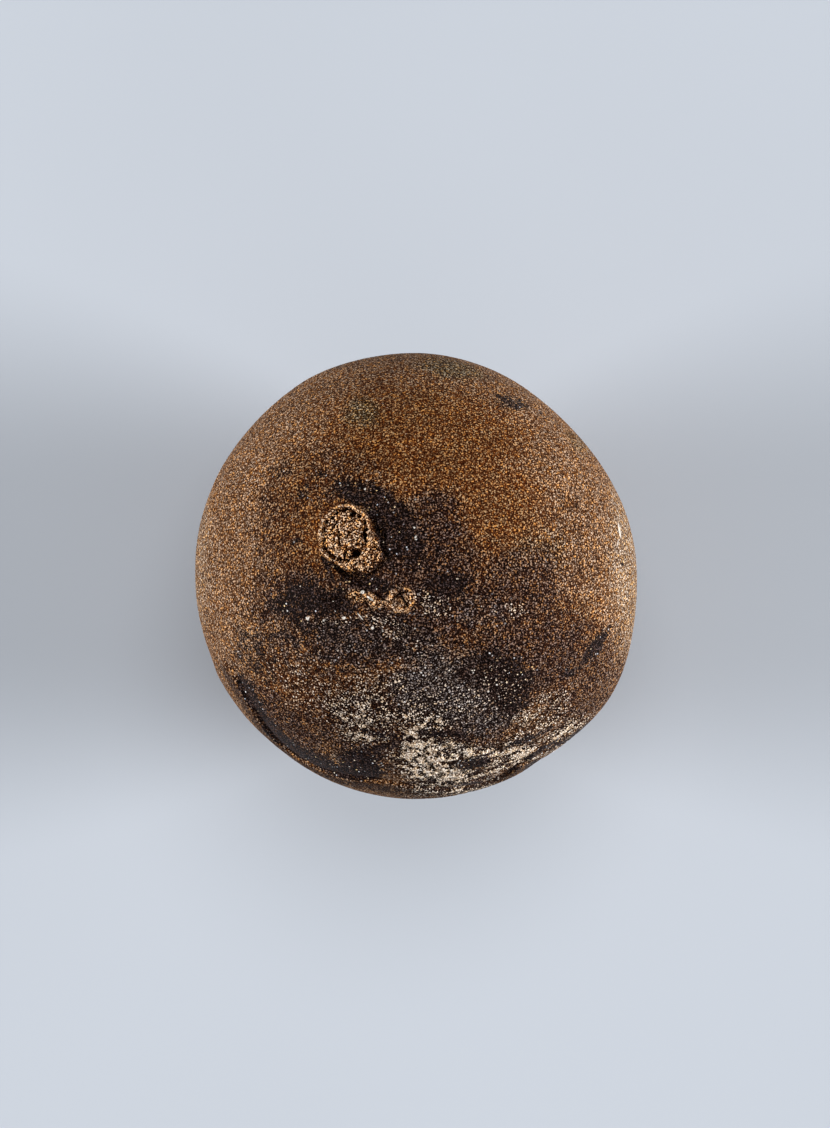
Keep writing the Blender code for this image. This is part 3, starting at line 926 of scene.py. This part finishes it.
# Colours of the painted light on the rims
RIM_LIGHT_COLOURS = ((0.024, 0.008, 0.002), (0.190, 0.114, 0.064), (0.780, 0.600, 0.420))
WARM_SKIN = ((0.016, 0.003, 0.0003), (0.100, 0.032, 0.0085), (0.490, 0.280, 0.118))
OLIVE_SKIN = ((0.006, 0.002, 0.0003), (0.063, 0.035, 0.014), (0.540, 0.395, 0.230))
BROWN_SKIN = ((0.0010, 0.0002, 0.0001), (0.023, 0.008, 0.0045), (0.260, 0.158, 0.110))
BAND_SKIN = ((0.006, 0.002, 0.001), (0.034, 0.017, 0.010), (0.200, 0.120, 0.078))
GREY_SKIN = ((0.001, 0.0003, 0.0003), (0.019, 0.011, 0.010), (0.320, 0.270, 0.245))
# Dark colours of the stains and of the painted shade
STAIN_AND_SHADE_COLOURS = ((0.001, 0.0002, 0.0001), (0.009, 0.0036, 0.0026), (0.105, 0.064, 0.052))
CORK = ((0.003, 0.0010, 0.0002), (0.195, 0.078, 0.029), (1.000, 0.670, 0.400))
RIDGE_SKIN = ((0.002, 0.001, 0.0002), (0.125, 0.042, 0.012), (0.850, 0.520, 0.270))
DUST = ((0.034, 0.013, 0.006), (0.350, 0.255, 0.180), (1.000, 0.880, 0.730))
# Colour of the painted highlights
HIGHLIGHT_COLOUR = (0.820, 0.760, 0.680, 1.0)

# The tint of single grains, redder, plain or greyer, and what makes up for the light it takes
HUE_PLACES = (0.0, 0.5, 1.0)
HUES = ((1.00, 0.76, 0.36), (0.80, 0.82, 0.80), (0.72, 0.83, 0.95))
PLAIN_HUE = (0.83, 0.81, 0.73, 1.0)
HUE_GAIN = (1.37, 1.37, 1.49, 1.0)
PLAINER_HUE = 0.65

# Grains: their size and uneven shape, then how the tone of each is made up
GRAIN_SIZE = 0.115 * MM
GRAIN_SHIFT_SIZE = 0.22 * MM
GRAIN_SHIFT = 0.08 * MM
GRAIN_BUMP = 0.035 * MM
FINE_GRAIN_SIZE = 0.070 * MM
FINE_GRAIN_SHARE = 0.80
FINE_NOISE_REACH = (0.27, 0.73)
CREVICE_TONE = 0.08

# Ramps: the values they run between and, where these aren't 0 and 1, what they then give
GRAIN_TOP = (0.10, 0.75, 1.0, 0.0)
GRAIN_BRIGHTNESS = (0.0, 1.0, 0.25, 0.55)
RAGGED_EDGE = (0.25, 0.75, -0.30, 0.30)
CREVICES_FIRST = (0.0, 1.0, 0.14, -0.12)
EDGE_PRESENT = (0.0, 0.25)
SOFT_EDGE = (0.05, 0.95)
STAIN_AND_SHADE_EDGE = (0.2, 0.8)
SCAR_EDGE = (0.25, 0.75)
BLOTCH_SHADES = (0.32, 0.70, 0.91, 1.08)
DARK_UNDER_DUST = (0.35, 0.80, 0.0, 0.70)
CRUST_STANDS = (0.3, 0.9, 0.20, 0.90)
DUST_EDGE = (-0.08, 0.18)
DUST_PRESENT = (0.0, 0.2)
DUST_THICKNESS = (0.3, 1.0, -0.04, 0.14)
SPARKLING_DRAWS = (0.945, 0.975)
SPARKLING_TOP = (0.5, 0.9)
# Painted shade in the scars' pits, by their height
CORK_HEIGHTS = (0.05, 0.85, -1.10, -0.03)
FLAKY_PLACES = (0.2, 0.7)
FLAKES_TONE = (0.35, 0.65, -0.55, 0.15)
GLINT_EDGE = (0.3, 0.7)
GLOSS_ROUGHNESS = (0.0, 1.0, 0.72, 0.50)

# Sizes of the noise that makes the skin uneven, and weights of what is added up
RAGGED_SIZE = 0.50 * MM
BLOTCH_SIZE = 1.7 * MM
FLECK_SIZE = 0.20 * MM
FLECK_WEIGHT = 1.10
DUST_NEEDS = 1.66
DUST_NEEDS_LESS = 0.78
DUST_GRAIN_WEIGHT = 0.80
DUST_CRUST_WEIGHT = 0.35
SPARKLES_ON_MARKS = 0.80
SPARKLES_ELSEWHERE = 0.12
CORK_GRAIN_WEIGHT = 1.50
SPECULAR_LEVEL = 0.03


def grain_tone(shader):
    """The tone from crevice to bright grain, with painted shade towards the crevices, how near a
    grain's top is, and each grain's draws.
    """
    grains = shader.cells(GRAIN_SIZE, shader.shifted(GRAIN_SHIFT_SIZE, GRAIN_SHIFT))
    draws = shader.node("ShaderNodeSeparateColor", {0: grains.outputs["Color"]}).outputs
    top = shader.ramp(grains.outputs["Distance"], *GRAIN_TOP)
    fine = shader.noise(FINE_GRAIN_SIZE, detail=0.0).outputs[0]
    lowest, highest = FINE_NOISE_REACH
    lumps = shader.node("ShaderNodeMapRange", {0: fine, 1: lowest, 2: highest}).outputs[0]
    # Painted shade: the tone falls away from each grain's top into the crevices, while each grain's
    # own draw varies at random
    tone = shader.multiply(top, shader.ramp(draws[0], *GRAIN_BRIGHTNESS))
    tone = shader.add(tone, shader.multiply(lumps, FINE_GRAIN_SHARE))
    return shader.subtract(tone, CREVICE_TONE, clamp=True), top, draws


def edge_breaker(shader, tone):
    """Makes masks with broken edges, which take the crevices before the grains."""
    broken = shader.noise(RAGGED_SIZE, detail=3.0, roughness=0.7).outputs[0]
    ragged = shader.ramp(broken, *RAGGED_EDGE)
    uneven = shader.add(ragged, shader.ramp(tone, *CREVICES_FIRST))

    def shown(name, edge=SOFT_EDGE, rough=1.0):
        share = shader.mask(name)
        offset = shader.multiply(uneven, shader.ramp(share, *EDGE_PRESENT))
        return shader.ramp(shader.add(share, shader.multiply(offset, rough)), *edge)

    return shown


def clean_skin(shader, tone, shown):
    """The skin's own colours, with broad blotches in them."""
    skin, rim_light_colour = shader.grade(tone, SKIN), shader.grade(tone, RIM_LIGHT_COLOURS)
    # Painted light: paler colours on the rims, where the side lamps fall
    colour = shader.mix(shader.mask("pale"), skin, rim_light_colour)
    colour = shader.mix(shown("warm", rough=0.35), colour, shader.grade(tone, WARM_SKIN))
    colour = shader.mix(shown("olive", rough=0.6), colour, shader.grade(tone, OLIVE_SKIN))
    colour = shader.mix(shown("brown", rough=0.8), colour, shader.grade(tone, BROWN_SKIN))
    blotches = shader.noise(BLOTCH_SIZE, detail=3.0, roughness=0.6).outputs[0]
    shades = shader.plain(shader.ramp(blotches, *BLOTCH_SHADES))
    colour = shader.mix(1.0, colour, shades, "MULTIPLY")
    return shader.mix(shown("band"), colour, shader.grade(tone, BAND_SKIN))


def dust_layer(shader, tone, flecks):
    """How much dust covers each place, and its colour, brighter on the crust's high flakes as
    painted light.
    """
    dusty = shader.mask("dust")
    crust = shader.subtract(shader.mask("crust"), 0.5)
    standing = shader.multiply(crust, shader.ramp(dusty, *CRUST_STANDS))
    settles = shader.add(tone, shader.multiply(flecks, FLECK_WEIGHT))
    settles = shader.add(settles, standing)
    needed = shader.subtract(DUST_NEEDS, shader.multiply(dusty, DUST_NEEDS_LESS))
    cover = shader.ramp(shader.subtract(settles, needed), *DUST_EDGE)
    cover = shader.multiply(cover, shader.ramp(dusty, *DUST_PRESENT))
    thickness = shader.ramp(dusty, *DUST_THICKNESS)
    dust_tone = shader.add(shader.multiply(tone, DUST_GRAIN_WEIGHT), thickness)
    in_crust = shader.multiply(standing, DUST_CRUST_WEIGHT)
    dust_tone = shader.add(dust_tone, in_crust, clamp=True)
    return cover, shader.grade(dust_tone, DUST)


def sparkles(shader, draw, top):
    """Painted highlights on single grains, most of them in the grey places, the stains and the
    painted shade.
    """
    marks = shader.larger(shader.mask("grey"), shader.mask("stain"))
    share = shader.add(shader.multiply(marks, SPARKLES_ON_MARKS), SPARKLES_ELSEWHERE)
    chosen = shader.ramp(draw, *SPARKLING_DRAWS)
    return shader.multiply(shader.multiply(chosen, shader.ramp(top, *SPARKLING_TOP)), share)


def cork_layer(shader, tone, flecks):
    """The tone and the colour of the scars, with painted shade in their pits and darker between
    their flakes.
    """
    high = shader.ramp(shader.mask("height"), *CORK_HEIGHTS)
    flaky = shader.ramp(shader.mask("ridge"), *FLAKY_PLACES)
    flaking = shader.multiply(flaky, shader.ramp(flecks, *FLAKES_TONE))
    cork_tone = shader.add(high, shader.multiply(tone, CORK_GRAIN_WEIGHT))
    cork_tone = shader.add(cork_tone, flaking, clamp=True)
    cork, ridge_skin = shader.grade(cork_tone, CORK), shader.grade(cork_tone, RIDGE_SKIN)
    return cork_tone, shader.mix(flaky, cork, ridge_skin)


def tinted(shader, colour, draw, calm):
    """The colour with each grain's own tint, which is plainer where calm is near 1."""
    hue = shader.blend(draw, HUE_PLACES, HUES)
    hue = shader.mix(shader.multiply(calm, PLAINER_HUE), hue, PLAIN_HUE)
    colour = shader.mix(1.0, colour, hue, "MULTIPLY")
    return shader.mix(1.0, colour, HUE_GAIN, "MULTIPLY")


def skin_material():
    """The seed's whole surface, from the clean skin up to the dust and the cork on it."""
    shader = Shader("seed_skin")
    tone, top, draws = grain_tone(shader)
    shown = edge_breaker(shader, tone)
    flecks = shader.noise(FLECK_SIZE, detail=2.0, roughness=0.6).outputs[0]
    colour = clean_skin(shader, tone, shown)
    grey = shown("grey")
    colour = shader.mix(grey, colour, shader.grade(tone, GREY_SKIN))
    # Painted shade under the dust, which shows in the crust's low gaps
    under_dust = shader.ramp(shader.mask("dust"), *DARK_UNDER_DUST)
    # Stains, and painted shade in hollows, by the crease and in the crust, in one dark colour
    stain = shader.larger(shown("stain", STAIN_AND_SHADE_EDGE), under_dust)
    colour = shader.mix(stain, colour, shader.grade(tone, STAIN_AND_SHADE_COLOURS))
    dust, dust_colour = dust_layer(shader, tone, flecks)
    colour = shader.mix(dust, colour, dust_colour)
    # Painted highlights on single grains
    colour = shader.mix(sparkles(shader, draws[1], top), colour, HIGHLIGHT_COLOUR)
    cork_tone, cork_colour = cork_layer(shader, tone, flecks)
    colour = shader.mix(shown("scar", SCAR_EDGE, rough=0.55), colour, cork_colour)
    colour = tinted(shader, colour, draws[2], shader.larger(dust, grey))
    # Painted highlights on single specks
    colour = shader.mix(shader.ramp(shader.mask("glint"), *GLINT_EDGE), colour, HIGHLIGHT_COLOUR)

    surface = shader.surface
    shader.feed(surface.inputs["Base Color"], colour)
    gloss = shader.subtract(stain, dust, clamp=True)
    shader.feed(surface.inputs["Roughness"], shader.ramp(gloss, *GLOSS_ROUGHNESS))
    shader.feed(surface.inputs["Specular IOR Level"], SPECULAR_LEVEL)
    height = shader.add(tone, shader.multiply(cork_tone, shader.mask("scar")))
    bump = shader.node("ShaderNodeBump", {"Height": height, "Distance": GRAIN_BUMP, "Strength": 1.0})
    shader.feed(surface.inputs["Normal"], bump.outputs[0])
    return shader.material


def make_seed():
    mesh = make_skin()
    mesh.materials.append(skin_material())
    seed = bpy.data.objects.new("seed_coat", mesh)
    bpy.context.scene.collection.objects.link(seed)
    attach(seed, "root")
    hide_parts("seed")
    return seed


FLOOR_SIZE = 3.0
FLOOR_GAP = 0.02 * MM
FLOOR_COLOUR = (0.52, 0.56, 0.62, 1.0)
FLOOR_ROUGHNESS = 0.9
FLOOR_MOTTLE_SIZE = 60 * MM
FLOOR_MOTTLE = (0.3, 0.7, 0.97, 1.03)


def make_floor():
    mesh = bpy.data.meshes.new("floor")
    ground = bmesh.new()
    bmesh.ops.create_grid(ground, x_segments=1, y_segments=1, size=FLOOR_SIZE / 2.0)
    ground.to_mesh(mesh)
    ground.free()
    shader = Shader("floor_paper")
    mottle = shader.noise(FLOOR_MOTTLE_SIZE, detail=2.0).outputs[0]
    shades = shader.plain(shader.ramp(mottle, *FLOOR_MOTTLE))
    colour = shader.mix(1.0, FLOOR_COLOUR, shades, "MULTIPLY")
    shader.feed(shader.surface.inputs["Base Color"], colour)
    shader.feed(shader.surface.inputs["Roughness"], FLOOR_ROUGHNESS)
    mesh.materials.append(shader.material)
    floor = bpy.data.objects.new("floor", mesh)
    floor.location.z = -FLOOR_GAP
    bpy.context.scene.collection.objects.link(floor)


# Soft lights: azimuth and elevation in degrees, distance, size, power in watts. They stand
# far off, so that they light the whole floor alike.
LIGHTS = {
    "right softbox": (-2, 15, 6.0, 2.7, 583),
    "left softbox": (182, 15, 6.0, 2.7, 444),
    "top softbox": (80, 66, 6.0, 4.0, 107),
}
WORLD_COLOUR = (0.95, 0.97, 1.0, 1.0)
WORLD_STRENGTH = 0.20


def make_lights():
    target = Vector((0.0, 0.0, HALF_Z))
    for name, (azimuth, elevation, distance, size, power) in LIGHTS.items():
        a, e = math.radians(azimuth), math.radians(elevation)
        away = Vector((math.cos(a) * math.cos(e), math.sin(a) * math.cos(e), math.sin(e)))
        lamp = bpy.data.lights.new(name, "AREA")
        lamp.shape = "DISK"
        lamp.size = size
        lamp.energy = power
        light = bpy.data.objects.new(name, lamp)
        light.location = target + away * distance
        light.rotation_euler = away.to_track_quat("Z", "Y").to_euler()
        light.visible_camera = False
        bpy.context.scene.collection.objects.link(light)
    world = bpy.data.worlds.new("studio")
    world.use_nodes = True
    sky = world.node_tree.nodes["Background"]
    sky.inputs["Color"].default_value = WORLD_COLOUR
    sky.inputs["Strength"].default_value = WORLD_STRENGTH
    bpy.context.scene.world = world


def make_camera():
    """Looks straight down, with the photograph's frame at the seed's widest plane."""
    low, high = Vector(CAD_BOX[0]), Vector(CAD_BOX[1])
    middle = (low + high) / 2.0
    px = MM / PX_PER_MM
    right = (PHOTO_WIDTH_PX / 2.0 - SEED_X_PX) * px
    up = (SEED_Y_PX - PHOTO_HEIGHT_PX / 2.0) * px
    lens = bpy.data.cameras.new("camera")
    lens.sensor_fit = "VERTICAL"
    lens.sensor_height = SENSOR_MM
    lens.lens = LENS_MM
    lens.clip_start = 10 * MM
    distance = PHOTO_HEIGHT_PX * px * LENS_MM / SENSOR_MM
    camera = bpy.data.objects.new("camera", lens)
    camera.location = (middle.x + right, middle.y + up, middle.z + distance)
    bpy.context.scene.collection.objects.link(camera)
    bpy.context.scene.camera = camera


make_seed()
make_floor()
make_lights()
make_camera()
bpy.context.scene.view_settings.view_transform = "Standard"
